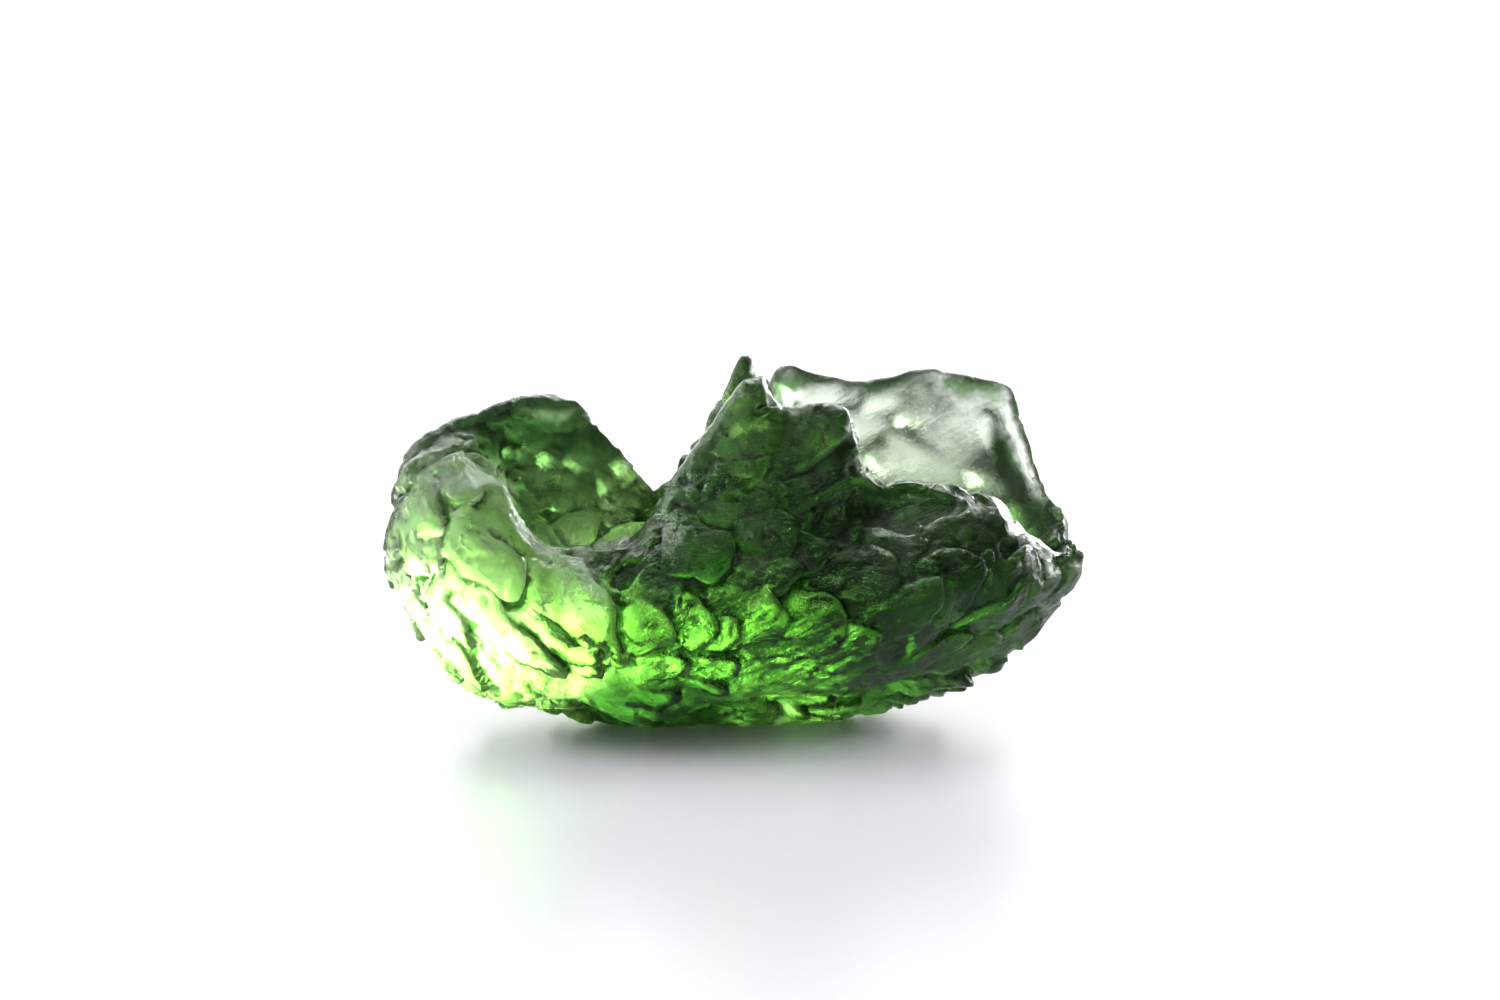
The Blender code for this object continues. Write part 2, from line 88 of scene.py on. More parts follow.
# Round pits on the front: (x, up, radius, depth)
FRONT_PITS = [
    (-4.0, 5.75, 0.6, 0.3), (8.95, 5.7, 0.7, 0.25), (4.2, 7.9, 1.0, 0.25),
    (11.0, 7.0, 0.7, 0.2), (-12.3, 5.8, 0.6, 0.25), (6.3, 2.9, 0.8, 0.2),
]
# The scales elsewhere, spread by chance over the sides, the back, the underside and the hollow.
# The front has its own, so a scale that faces forward and isn't far underneath is left out.
OTHER_SCALES = 420
FRONT_BEFORE, FRONT_ABOVE = -0.35, -0.6
HEART_LOW, HEART_HIGH = (-11, -2, 5), (11, 3, 9)
SCALE_LENGTH = (1.6, 4.2)
SCALE_WIDTH = (0.4, 0.75)
SCALE_HEIGHT = (0.22, 0.5)
LEFT_TURN, RIGHT_TURN, TURN_SPREAD = -35, 30, 18
PIT_SHARE, PIT_WIDTH, PIT_DEPTH = 0.18, 0.8, 0.7
SWAY, SWAY_SIZE = 0.5, 1.7  # how far the outlines of the scales wander, and over what length
SEED = 11
noise.seed_set(SEED)

# The form of a scale: it climbs to its free end, is domed across and drops at its edge
BLUNT_ACROSS, BLUNT_ALONG = 1.4, 1.7  # 2 gives a round end, and 1 a sharp point
CLIMB, DOME = 0.8, 0.25
EDGE_CREST = 12  # the higher, the steeper a scale drops at its edge
GAP_REACH, GAP_DEPTH = 0.45, 0.4  # of a scale's own size and height, the gap below its free end
SAME_WAY = 0.3  # how nearly the skin has to face the way that the scale does
SINK_UNDER_SCALE = 0.3  # how much of a pit is left where a scale covers it

# Spots in the glass, as seen from the front: (x, up, length, width, turn, strength). The clear ones are
# painted highlights, where the glass is almost without colour; the lit ones are a painted glow; the dark
# ones are painted shade and the deep ones painted shade that is nearly black; and the green ones keep
# their green inside the painted highlight on the clear wall.
PAINTED_HIGHLIGHT_SPOTS = [
    (-12.0, 9.8, 2.6, 2.6, 0, 1), (-12.0, 5.3, 6.0, 3.4, -70, 1), (-10.3, 7.1, 4.2, 2.4, -50, 1),
    (-9.1, 3.9, 4.8, 2.4, -40, 0.9), (-5.9, 4.9, 3.4, 1.2, -42, 0.9), (-7.2, 12.3, 2.8, 1.0, 0, 1),
    (-4.1, 10.1, 0.5, 0.5, 0, 1), (13.6, 6.2, 1.0, 2.0, 0, 1), (2.1, 0.4, 1.8, 0.7, 0, 0.7),
    (8.0, 13.0, 0.9, 1.4, 20, 1), (9.9, 2.6, 0.5, 0.8, 60, 1), (-9.8, 9.4, 2.0, 2.4, 0, 0.7),
    (11.0, 10.2, 1.4, 3.0, -25, 1), (-9.6, 5.6, 4.8, 3.0, -45, 0.95), (7.6, 8.5, 5.6, 1.6, -12, 0.7),
    (-10.6, 9.0, 2.4, 1.6, 0, 0.8),
]
LIT_SPOTS = [
    (0.0, 7.2, 6.5, 3.4, 0, 0.6), (1.6, 5.6, 4.0, 1.6, 0, 0.3), (1.0, 11.0, 5.0, 3.4, 30, 0.5),
]
PAINTED_SHADE_SPOTS = [
    (-12.6, 8.1, 2.4, 1.2, 0, 1), (-8.1, 8.4, 4.2, 1.5, -60, 1), (-11.1, 2.9, 1.6, 1.0, -30, 1),
    (-2.0, 1.2, 9.0, 2.2, 0, 0.8), (1.2, 11.6, 5.5, 5.0, 0, 0.3), (4.5, 10.3, 2.2, 3.0, -60, 1),
    (-0.9, 12.0, 6.5, 1.8, 62, 0.7), (4.7, 13.9, 10.0, 0.8, 0, 1), (9.2, 13.4, 4.8, 1.3, -5, 1),
    (2.2, 13.6, 1.6, 2.0, 0, 1), (-10.5, 12.0, 5.0, 1.6, 30, 1), (12.2, 8.6, 3.4, 0.6, -38, 1),
    (4.6, 6.0, 3.6, 4.0, 0, 0.5),
]
DEEP_SHADE_SPOTS = [
    (-2.6, 0.6, 11.6, 2.9, 0, 1), (-7.9, 8.0, 4.0, 0.7, -62, 0.8), (4.5, 10.3, 1.5, 2.6, -60, 0.8),
    (3.0, 4.6, 3.0, 5.0, 0, 0.7), (6.0, 2.0, 7.0, 2.4, 14, 0.85), (-0.4, 2.6, 7.0, 3.0, 0, 0.5),
]
GREEN_SPOTS = [
    (7.6, 12.4, 2.4, 2.6, 20, 0.7), (5.5, 10.9, 4.0, 1.0, 0, 0.6), (10.0, 10.5, 2.6, 2.0, -30, 0.6),
]
SPOT_SWAY, SPOT_SWAY_SIZE = 1.0, 1.4
SPOT_EDGE = (0.5, 1.2)  # of a spot's own size, where it begins to fade and where it has ended
SPOT_FACING = (-0.3, 0.05)  # from turned away to turned to the viewer

# The solid has the big scales already: only what stands out from the relief around it is added
EDGE_GAIN = 1.15
EDGE_ROUNDS = 60

# Small scales and pits between the big ones
SMALL_SCALES = 2600
SMALL_LENGTH = (0.45, 1.5)
SMALL_WIDTH = (0.45, 0.9)
SMALL_HEIGHT = (0.03, 0.11)
SMALL_PIT_SHARE = 0.3
SMALL_LEFT_END = -2
SMALL_SEED = 23

# Fine ribs: they fall to the right on the left-hand lobes and climb to the right elsewhere
LEFT_RIB_TURN, RIGHT_RIB_TURN = -42, 30
RIB_FROM, RIB_TO = -5.0, 0.5
RIB_LONG, RIB_ACROSS, RIB_DEPTH = 3.2, 0.34, 0.035

# Crumbly grain, which is deepest on the thin rims
CRUMB_SIZE, CRUMB_DEPTH, RIM_CRUMB_DEPTH = 0.5, 0.04, 0.09

# On a wall thinner than this the relief is calmer, down to the least share of it
THICK_WALL, LEAST_SHARE = 2.4, 0.15
INSIDE = 0.03
PLAIN_BASE = 0.5  # the relief fades out below this height, so that the stone lies flat

# The thin, light wall at the back right: where it begins and where it is fully there, along X, Y, Z
WALL_FROM, WALL_FULL = (0.6, 1.6, 7.0), (2.4, 3.4, 9.5)
WALL_CALM = 0.8  # how much of the relief it loses

# The marks on the skin, which paint light and shade into the glass's colour. The painted shade in crevices
# and the painted highlights on crests are told from the skin evened out in so many rounds, and each pair
# of numbers says where a mark begins and where it is full.
MARK_ROUNDS = 8
CREVICE_DIP, CREST_RISE = 0.045, 0.06
# Thin rims get painted shade, and no painted crest highlight
RIM_SHARE = (0.25, 0.85)
# The left end gets a painted highlight: its glass is cleared to near white
LEFT_END = (10.0, 12.5)
# The hood and the right side get painted shade
HOOD_MIDDLE, HOOD_REACH, HOOD_BEHIND = (-8.0, 1.5, 11.0), (5.5, 5.0, 5.5), (-2.8, -1.0)
RIGHT_SIDE, RIGHT_SHADE = (1.5, 6.5), 0.8
# The left side gets a painted glow
LIT_SIDE = (2.5, 7.5)


# Mesh work
def applied(obj):
    """The object's mesh with its modifiers applied, which then replaces its mesh."""
    graph = bpy.context.evaluated_depsgraph_get()
    mesh = bpy.data.meshes.new_from_object(obj.evaluated_get(graph))
    obj.modifiers.clear()
    obj.data = mesh
    return mesh


def copy_of_stone(name):
    """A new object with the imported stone's mesh, its loose triangles merged."""
    bm = bmesh.new()
    bm.from_mesh(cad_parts["moldavite"].data)
    bmesh.ops.remove_doubles(bm, verts=bm.verts, dist=1e-7)
    mesh = bpy.data.meshes.new(name)
    bm.to_mesh(mesh)
    bm.free()
    obj = bpy.data.objects.new(name, mesh)
    bpy.context.scene.collection.objects.link(obj)
    return obj


def reskinned(obj, voxel):
    """The object's mesh with an even skin of small faces."""
    skin = obj.modifiers.new("even_skin", "REMESH")
    skin.mode = "VOXEL"
    skin.voxel_size = voxel * MM
    return applied(obj)


def arrays_of(mesh):
    """The points and normals of the mesh, in millimetres."""
    points = np.empty(len(mesh.vertices) * 3)
    mesh.vertices.foreach_get("co", points)
    normals = np.empty(len(mesh.vertices) * 3)
    mesh.vertex_normals.foreach_get("vector", normals)
    return points.reshape(-1, 3) / MM, normals.reshape(-1, 3)


def edges_of(mesh):
    """The numbers of the two points of each edge."""
    ends = np.empty(len(mesh.edges) * 2, np.int32)
    mesh.edges.foreach_get("vertices", ends)
    return ends.reshape(-1, 2)


def softened(values, edges, rounds):
    """Values at the points, each made the mean of itself and its neighbours that many times."""
    count = np.bincount(edges.ravel(), minlength=len(values)) + 1.0
    for _ in range(rounds):
        total = values + np.bincount(edges[:, 0], values[edges[:, 1]], len(values))
        total += np.bincount(edges[:, 1], values[edges[:, 0]], len(values))
        values = total / count
    return values


def calmed(points, edges, rounds, push_back):
    """The points evened out, each round pulled in and pushed back so that thin edges don't shrink."""
    count = np.bincount(edges.ravel(), minlength=len(points))[:, None]
    for _ in range(rounds):
        for step in (0.5, -push_back):
            total = np.empty_like(points)
            for axis in range(3):
                line = points[:, axis]
                total[:, axis] = np.bincount(edges[:, 0], line[edges[:, 1]], len(line))
                total[:, axis] += np.bincount(edges[:, 1], line[edges[:, 0]], len(line))
            points = points + step * (total / count - points)
    return points


def smooth_step(values, low, high):
    """0 up to the low value, 1 from the high one, and an even curve between."""
    share = np.clip((values - low) / (high - low), 0, 1)
    return share * share * (3 - 2 * share)


# Scales
def scale_at(tree, start, direction, length, width, turn, height):
    """A scale where the line from start in that direction meets the stone, or None if it misses."""
    place, normal, _, _ = tree.ray_cast(start, direction)
    if place is None:
        return None
    side = normal.orthogonal() if abs(normal.z) > 0.97 else Vector((0, 0, 1)).cross(normal)
    side.normalize()
    up = normal.cross(side)
    angle = math.radians(turn)
    along = side * math.cos(angle) + up * math.sin(angle)
    across = normal.cross(along)
    return [np.array(v) for v in (place, normal, along, across)] + [length / 2, width / 2, height]


def view_axes():
    """The way the viewer looks, and what is upward in the view."""
    tilt = math.radians(VIEW_TILT)
    return Vector((0, math.cos(tilt), -math.sin(tilt))), Vector((0, math.sin(tilt), math.cos(tilt)))


def front_scales(tree):
    sight, upward = view_axes()
    for x, up, length, width, turn, height in FRONT_SCALES:
        start = Vector((x, 0, 0)) + DRAWN_AT + upward * up - sight * FAR
        yield scale_at(tree, start, sight, length, width, turn, height)
    for x, up, radius, depth in FRONT_PITS:
        start = Vector((x, 0, 0)) + DRAWN_AT + upward * up - sight * FAR
        yield scale_at(tree, start, sight, 2 * radius, 2 * radius, 0, -depth)


def way_out(chance):
    """A direction that is as likely as any other."""
    level = chance.uniform(-1, 1)
    round_z = chance.uniform(0, math.tau)
    out = Vector((math.cos(round_z), math.sin(round_z), 0)) * math.sqrt(1 - level**2)
    out.z = level
    return out


def other_scales(tree):
    chance = random.Random(SEED)
    for _ in range(OTHER_SCALES):
        out = way_out(chance)
        heart = Vector([chance.uniform(low, high) for low, high in zip(HEART_LOW, HEART_HIGH)]) + DRAWN_AT
        length = chance.uniform(*SCALE_LENGTH)
        width = length * chance.uniform(*SCALE_WIDTH)
        turn = chance.gauss(LEFT_TURN if out.x < 0 else RIGHT_TURN, TURN_SPREAD)
        height = chance.uniform(*SCALE_HEIGHT)
        if chance.random() < PIT_SHARE:
            length = width = length * PIT_WIDTH
            height *= -PIT_DEPTH
        on_front = out.y < FRONT_BEFORE and out.z > FRONT_ABOVE
        if not on_front:
            yield scale_at(tree, heart + out * FAR, -out, length, width, turn, height)


def small_scales(tree):
    chance = random.Random(SMALL_SEED)
    for _ in range(SMALL_SCALES):
        out = way_out(chance)
        heart = Vector([chance.uniform(low, high) for low, high in zip(HEART_LOW, HEART_HIGH)])
        length = chance.uniform(*SMALL_LENGTH)
        width = length * chance.uniform(*SMALL_WIDTH)
        turn = chance.gauss(LEFT_TURN if heart.x < SMALL_LEFT_END else RIGHT_TURN, TURN_SPREAD)
        height = chance.uniform(*SMALL_HEIGHT)
        if chance.random() < SMALL_PIT_SHARE:
            height *= -1
        yield scale_at(tree, heart + out * FAR, -out, length, width, turn, height)


def scale_relief(points, normals, scales):
    """How far each point rises: the highest scale that covers it, less the deepest pit.

    A scale grows out of the skin at its upper end and stands free at its lower, blunt end, with a
    narrow gap below it.
    """
    points = points + SWAY * np.array([noise.noise_vector(p / SWAY_SIZE) for p in points - DRAWN_AT])
    order = np.argsort(points[:, 0])
    points, normals = points[order], normals[order]
    rise = np.zeros(len(points))
    sink = np.zeros(len(points))
    for place, normal, along, across, half_length, half_width, height in scales:
        reach = half_length * (1 + GAP_REACH)
        first, last = np.searchsorted(points[:, 0], [place[0] - reach, place[0] + reach])
        near = slice(first, last)
        away = points[near] - place
        u = away @ along / half_length
        v = away @ across / half_width
        if height > 0:
            edge = np.abs(v) ** BLUNT_ACROSS + np.maximum(u, 0) ** BLUNT_ALONG
        else:
            edge = v**2 + u**2
        level = (np.abs(away @ normal) < half_length) & (normals[near] @ normal > SAME_WAY)
        on = (edge < 1) & (u > -1) & level
        if height > 0:
            lift = ((u[on] + 1) / 2) ** CLIMB * (1 - DOME * v[on] ** 2) * (1 - edge[on] ** EDGE_CREST)
            rise[near][on] = np.maximum(rise[near][on], height * lift)
            below = (edge >= 1) & (edge < 1 + GAP_REACH) & (u > 0) & level
            gap = GAP_DEPTH * height * u[below] * (1 - (edge[below] - 1) / GAP_REACH)
            sink[near][below] = np.minimum(sink[near][below], -gap)
        else:
            sink[near][on] = np.minimum(sink[near][on], height * (1 - edge[on]) ** 0.5)
    relief = np.empty(len(points))
    relief[order] = rise + np.where(rise > 0, SINK_UNDER_SCALE * sink, sink)
    return relief


def rib_relief(points):
    """Fine ribs along the way that the scales lie."""
    blend = smooth_step(points[:, 0], RIB_FROM, RIB_TO)
    ribs = []
    for turn in (LEFT_RIB_TURN, RIGHT_RIB_TURN):
        climb = math.radians(turn)
        run = (points[:, 0] * math.cos(climb) + points[:, 2] * math.sin(climb)) / RIB_LONG
        off = (points[:, 2] * math.cos(climb) - points[:, 0] * math.sin(climb)) / RIB_ACROSS
        deep = points[:, 1] / (3 * RIB_ACROSS)
        ribs.append(np.array([noise.noise(p) for p in zip(run, deep, off)]))
    return RIB_DEPTH * (ribs[0] * (1 - blend) + ribs[1] * blend)


def crumb_relief(points, thick):
    """Small sharp lumps, for which thick is 0 on a thin rim and 1 on thick glass."""
    lumps = np.array([noise.noise(p / CRUMB_SIZE) for p in points])
    sharp = 1 - 2 * np.abs(lumps)
    return sharp * (RIM_CRUMB_DEPTH + (CRUMB_DEPTH - RIM_CRUMB_DEPTH) * thick)


def thick_share(mesh, points, normals):
    """How much of the relief each point takes: all of it on thick glass, and less on a thin wall."""
    faces = [tuple(face.vertices) for face in mesh.polygons]
    tree = BVHTree.FromPolygons([Vector(p) for p in points], faces)
    depth = np.full(len(points), THICK_WALL)
    for i, (point, inward) in enumerate(zip(points - INSIDE * normals, -normals)):
        place, _, _, distance = tree.ray_cast(Vector(point), Vector(inward), THICK_WALL)
        if place is not None:
            depth[i] = distance
    return LEAST_SHARE + (1 - LEAST_SHARE) * smooth_step(depth, 0, THICK_WALL)


def fine_stone():
    """The stone to look at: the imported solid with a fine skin, sharper scales and finer relief."""
    coarse = copy_of_stone("coarse")
    mesh = reskinned(coarse, COARSE_VOXEL)
    points, _ = arrays_of(mesh)
    points = calmed(points, edges_of(mesh), COARSE_CALM_ROUNDS, COARSE_PUSH_BACK)
    faces = [tuple(face.vertices) for face in mesh.polygons]
    tree = BVHTree.FromPolygons([Vector(p) for p in points], faces)
    bpy.data.objects.remove(coarse)

    stone = copy_of_stone("moldavite_stone")
    mesh = reskinned(stone, FINE_VOXEL)
    points, _ = arrays_of(mesh)
    edges = edges_of(mesh)
    even = calmed(points, edges, CALM_ROUNDS, PUSH_BACK)
    clean = clean_share(even)[:, None]
    points = even * (1 - clean) + calmed(even, edges, CLEAN_CALM_ROUNDS, CLEAN_PUSH_BACK) * clean
    points[:, 2] = np.maximum(points[:, 2], 0)
    mesh.vertices.foreach_set("co", (points * MM).ravel())
    mesh.update()
    points, normals = arrays_of(mesh)
    big = scale_relief(points, normals, [s for s in [*front_scales(tree), *other_scales(tree)] if s])
    small = scale_relief(points, normals, [s for s in small_scales(tree) if s])
    sharper = EDGE_GAIN * (big - softened(big, edges, EDGE_ROUNDS))
    thick = thick_share(mesh, points, normals)
    rise = (sharper + small + rib_relief(points)) * thick + crumb_relief(points, thick)
    rise *= 1 - WALL_CALM * clean[:, 0]
    rise *= np.clip(points[:, 2] / PLAIN_BASE, 0, 1)
    points += normals * rise[:, None]
    mesh.vertices.foreach_set("co", (points * MM).ravel())
    mesh.update()
    note(mesh, "thick", thick)
    thin = stone.modifiers.new("fewer_faces", "DECIMATE")
    thin.ratio = MOST_FACES / (2 * len(mesh.polygons))
    mesh = applied(stone)
    mesh.polygons.foreach_set("use_smooth", [True] * len(mesh.polygons))
    note_skin(mesh)
    return stone


def note(mesh, name, values):
    """Writes values from 0 to 1 on the points, under the name that the material reads them by."""
    layer = mesh.attributes.new(name, "FLOAT", "POINT")
    layer.data.foreach_set("value", np.clip(values, 0, 1).astype(np.float32))


def bump_at(points, middle, reach):
    """1 at the middle and 0 past the reach, which has its own length along X, Y and Z."""
    away = np.linalg.norm((points - np.array(middle)) / np.array(reach), axis=1)
    return 1 - smooth_step(away, 0.6, 1.0)


def spot_share(spots, points, normals):
    """1 inside the spots on the showy side, fading to 0 past their wandering outlines."""
    sight, upward = (np.array(axis) for axis in view_axes())
    drawn = points - np.array(DRAWN_AT)
    wander = SPOT_SWAY * np.array([noise.noise_vector(p / SPOT_SWAY_SIZE) for p in drawn])
    across, rise = drawn[:, 0] + wander[:, 0], drawn @ upward + wander[:, 2]
    share = np.zeros(len(points))
    for x, up, length, width, turn, strength in spots:
        climb = math.radians(turn)
        along = (across - x) * math.cos(climb) + (rise - up) * math.sin(climb)
        off = (rise - up) * math.cos(climb) - (across - x) * math.sin(climb)
        inside = 1 - smooth_step(np.hypot(2 * along / length, 2 * off / width), *SPOT_EDGE)
        share = np.maximum(share, strength * inside)
    return share * smooth_step(-(normals @ sight), *SPOT_FACING)


def clean_share(points):
    """1 on the thin, light wall at the back right, and 0 away from it."""
    along_x, along_y, along_z = smooth_step(points, np.array(WALL_FROM), np.array(WALL_FULL)).T
    return along_x * along_y * along_z


def note_skin(mesh):
    """Marks, from 0 to 1, what the glass's colour goes by: painted shade, painted highlights and a painted
    glow.
    """
    points, normals = arrays_of(mesh)
    edges = edges_of(mesh)
    calm = np.stack([softened(points[:, axis], edges, MARK_ROUNDS) for axis in range(3)], axis=1)
    dip = np.einsum("ij,ij->i", calm - points, normals)
    dip = softened(dip, edges, 1)
    thick = np.empty(len(points))
    mesh.attributes["thick"].data.foreach_get("value", thick)
    x, y, _ = points.T
    thin_wall = clean_share(points)
    rim = (1 - smooth_step(thick, *RIM_SHARE)) * (1 - thin_wall)
    clear, lit, dark, deep, green = [
        spot_share(spots, points, normals)
        for spots in (PAINTED_HIGHLIGHT_SPOTS, LIT_SPOTS, PAINTED_SHADE_SPOTS, DEEP_SHADE_SPOTS, GREEN_SPOTS)
    ]
    # Painted shade: in the crevices, in the deep spots and on the thin rims
    note(mesh, "crevice_shade", np.maximum.reduce([dip / CREVICE_DIP, deep, rim]))
    # Painted highlight on the crests of the scales, left off the thin rims
    note(mesh, "crest_highlight", -dip / CREST_RISE * (1 - rim))
    # Painted highlight: the glass is cleared to near white on the thin back wall, the left end and the
    # clear spots, but not in the green spots
    left_end = smooth_step(-x, *LEFT_END)
    note(mesh, "clean", np.maximum.reduce([thin_wall, left_end, clear]) * (1 - green))
    # Painted shade on the hood, on the right side and in the dark spots, left off the clear spots
    hood = bump_at(points, HOOD_MIDDLE, HOOD_REACH) * smooth_step(y, *HOOD_BEHIND)
    right = RIGHT_SHADE * smooth_step(x, *RIGHT_SIDE) * (1 - thin_wall)
    note(mesh, "shaded", np.maximum.reduce([hood, right, dark]) * (1 - clear))
    # Painted glow on the left side and in the lit spots
    note(mesh, "lit", np.maximum(smooth_step(-x, *LIT_SIDE), lit))


# Materials
MAIN_GREEN = (0.011, 0.055, 0.005, 1)
# Painted glow
PAINTED_GLOW_GREEN = (0.6, 0.8, 0.42, 1)
# Painted highlight: glass cleared to near white where the stone shows white light
PAINTED_HIGHLIGHT_GREEN = (0.93, 0.99, 0.9, 1)
# Painted shade
SHADED_GREEN = (0.045, 0.12, 0.03, 1)
# Painted shade, nearly black, in crevices, deep spots and on thin rims; the random dark blots in the glass
# take this colour too
CREVICE_SHADE_AND_BLOT_GREEN = (0.003, 0.012, 0.002, 1)
# Painted highlight on crests; the pale streaks along the ribs take this colour too
CREST_HIGHLIGHT_AND_STREAK_GREEN = (0.32, 0.66, 0.14, 1)
# Painted glints
PAINTED_GLINT_GREEN = (0.65, 0.95, 0.32, 1)
REFLECTED_TINT = (0.42, 0.55, 0.40, 1)
GLASS_IOR = 1.49
DEPTH_GREEN, DEPTH_DENSITY = (0.42, 0.58, 0.26, 1), 240
# The patterns in the glass: (lumps to the metre, detail) and, for one, its own roughness
LINES, LINE_STRETCH = (6000, 3), 7
# The specks are painted glints, and the blots are random dark tone in the glass
GLINT_SPECKS, BLOTS, SATIN = (7500, 2), (2200, 4), (700, 4)
GRAIN = (5000, 5, 0.65)
# What a pattern's values are turned into: (from low, from high, to low, to high)
GLINT_SPECK_RANGE = (0.58, 0.68, 0, 0.85)
BLOT_RANGE = (0.52, 0.36, 0, 0.6)
STREAK_RANGE = (0.54, 0.7, 0, 0.5)
ROUGHNESS_RANGE = (0.35, 0.65, 0.06, 0.3)
BUMP_STRENGTH, BUMP_DEPTH = 0.9, 0.00011
TABLE_WHITE, TABLE_ROUGHNESS, TABLE_SHINE = (0.84, 0.825, 0.90, 1), 0.3, 0.25


def mark(nodes, name):
    """The mark of that name on the skin, from 0 to 1."""
    node = nodes.new("ShaderNodeAttribute")
    node.attribute_name = name
    return node.outputs["Fac"]


def blended(tree, share, first, second):
    """A colour between the first and the second; each is a socket or a plain colour."""
    mix = tree.nodes.new("ShaderNodeMix")
    mix.data_type = "RGBA"
    tree.links.new(share, mix.inputs["Factor"])
    for name, colour in (("A", first), ("B", second)):
        socket = next(i for i in mix.inputs if i.name == name and i.type == "RGBA")
        if isinstance(colour, tuple):
            socket.default_value = colour
        else:
            tree.links.new(colour, socket)
    return next(o for o in mix.outputs if o.type == "RGBA")


def mixed(tree, share, first, second):
    """A value between two sockets' values; the share is a socket or a plain number."""
    mix = tree.nodes.new("ShaderNodeMix")
    if isinstance(share, float):
        mix.inputs["Factor"].default_value = share
    else:
        tree.links.new(share, mix.inputs["Factor"])
    tree.links.new(first, mix.inputs["A"])
    tree.links.new(second, mix.inputs["B"])
    return mix.outputs["Result"]


def ranged(tree, value, from_low, from_high, to_low, to_high):
    """The value, with the first range turned into the second."""
    node = tree.nodes.new("ShaderNodeMapRange")
    limits = {"From Min": from_low, "From Max": from_high, "To Min": to_low, "To Max": to_high}
    for name, limit in limits.items():
        node.inputs[name].default_value = limit
    tree.links.new(value, node.inputs["Value"])
    return node.outputs["Result"]


def noise_of(tree, place, scale, detail, roughness=0.5):
    node = tree.nodes.new("ShaderNodeTexNoise")
    node.inputs["Scale"].default_value = scale
    node.inputs["Detail"].default_value = detail
    node.inputs["Roughness"].default_value = roughness
    tree.links.new(place, node.inputs["Vector"])
    return node.outputs["Fac"]


def stretched(tree, place, climb):
    """The place, drawn out along lines that climb to the right at that angle."""
    node = tree.nodes.new("ShaderNodeMapping")
    node.vector_type = "TEXTURE"
    node.inputs["Rotation"].default_value = (0, -math.radians(climb), 0)
    node.inputs["Scale"].default_value = (LINE_STRETCH, LINE_STRETCH / 2, 1)
    tree.links.new(place, node.inputs["Vector"])
    return node.outputs["Vector"]


def green_glass():
    glass = bpy.data.materials.new("green glass")
    glass.use_nodes = True
    tree = glass.node_tree
    nodes, links = tree.nodes, tree.links
    shader = nodes["Principled BSDF"]
    shader.inputs["Metallic"].default_value = 0
    shader.inputs["IOR"].default_value = GLASS_IOR
    shader.inputs["Transmission Weight"].default_value = 1
    shader.inputs["Specular Tint"].default_value = REFLECTED_TINT
    place = nodes.new("ShaderNodeTexCoord").outputs["Object"]
    left_lines = noise_of(tree, stretched(tree, place, LEFT_RIB_TURN), *LINES)
    right_lines = noise_of(tree, stretched(tree, place, RIGHT_RIB_TURN), *LINES)
    lines = mixed(tree, mark(nodes, "lit"), right_lines, left_lines)
    painted_glints = ranged(tree, noise_of(tree, place, *GLINT_SPECKS), *GLINT_SPECK_RANGE)
    blots = ranged(tree, noise_of(tree, place, *BLOTS), *BLOT_RANGE)
    streaks = ranged(tree, lines, *STREAK_RANGE)
    # painted glow on the left side and in the lit spots
    colour = blended(tree, mark(nodes, "lit"), MAIN_GREEN, PAINTED_GLOW_GREEN)
    colour = blended(tree, blots, colour, CREVICE_SHADE_AND_BLOT_GREEN)
    colour = blended(tree, streaks, colour, CREST_HIGHLIGHT_AND_STREAK_GREEN)
    # painted glints
    colour = blended(tree, painted_glints, colour, PAINTED_GLINT_GREEN)
    # painted highlight on the crests
    colour = blended(tree, mark(nodes, "crest_highlight"), colour, CREST_HIGHLIGHT_AND_STREAK_GREEN)
    # painted highlight: the glass cleared to near white
    colour = blended(tree, mark(nodes, "clean"), colour, PAINTED_HIGHLIGHT_GREEN)
    # painted shade on the hood, the right side and the dark spots
    colour = blended(tree, mark(nodes, "shaded"), colour, SHADED_GREEN)
    # painted shade in the crevices, the deep spots and on the thin rims
    colour = blended(tree, mark(nodes, "crevice_shade"), colour, CREVICE_SHADE_AND_BLOT_GREEN)
    links.new(colour, shader.inputs["Base Color"])
    rough = ranged(tree, noise_of(tree, place, *SATIN), *ROUGHNESS_RANGE)
    links.new(rough, shader.inputs["Roughness"])
    grain = mixed(tree, 0.5, noise_of(tree, place, *GRAIN), lines)
    bump = nodes.new("ShaderNodeBump")
    bump.inputs["Strength"].default_value = BUMP_STRENGTH
    bump.inputs["Distance"].default_value = BUMP_DEPTH
    links.new(grain, bump.inputs["Height"])
    links.new(bump.outputs["Normal"], shader.inputs["Normal"])
    volume = nodes.new("ShaderNodeVolumeAbsorption")
    volume.inputs["Color"].default_value = DEPTH_GREEN
    volume.inputs["Density"].default_value = DEPTH_DENSITY
    links.new(volume.outputs["Volume"], nodes["Material Output"].inputs["Volume"])
    return glass


def white_table():
    table = bpy.data.materials.new("white table")
    table.use_nodes = True
    shader = table.node_tree.nodes["Principled BSDF"]
    shader.inputs["Base Color"].default_value = TABLE_WHITE
    shader.inputs["Roughness"].default_value = TABLE_ROUGHNESS
    shader.inputs["Specular IOR Level"].default_value = TABLE_SHINE
    return table


# The stone
stone = fine_stone()
stone.data.materials.clear()
stone.data.materials.append(green_glass())
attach(stone, "root")
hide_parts("moldavite")

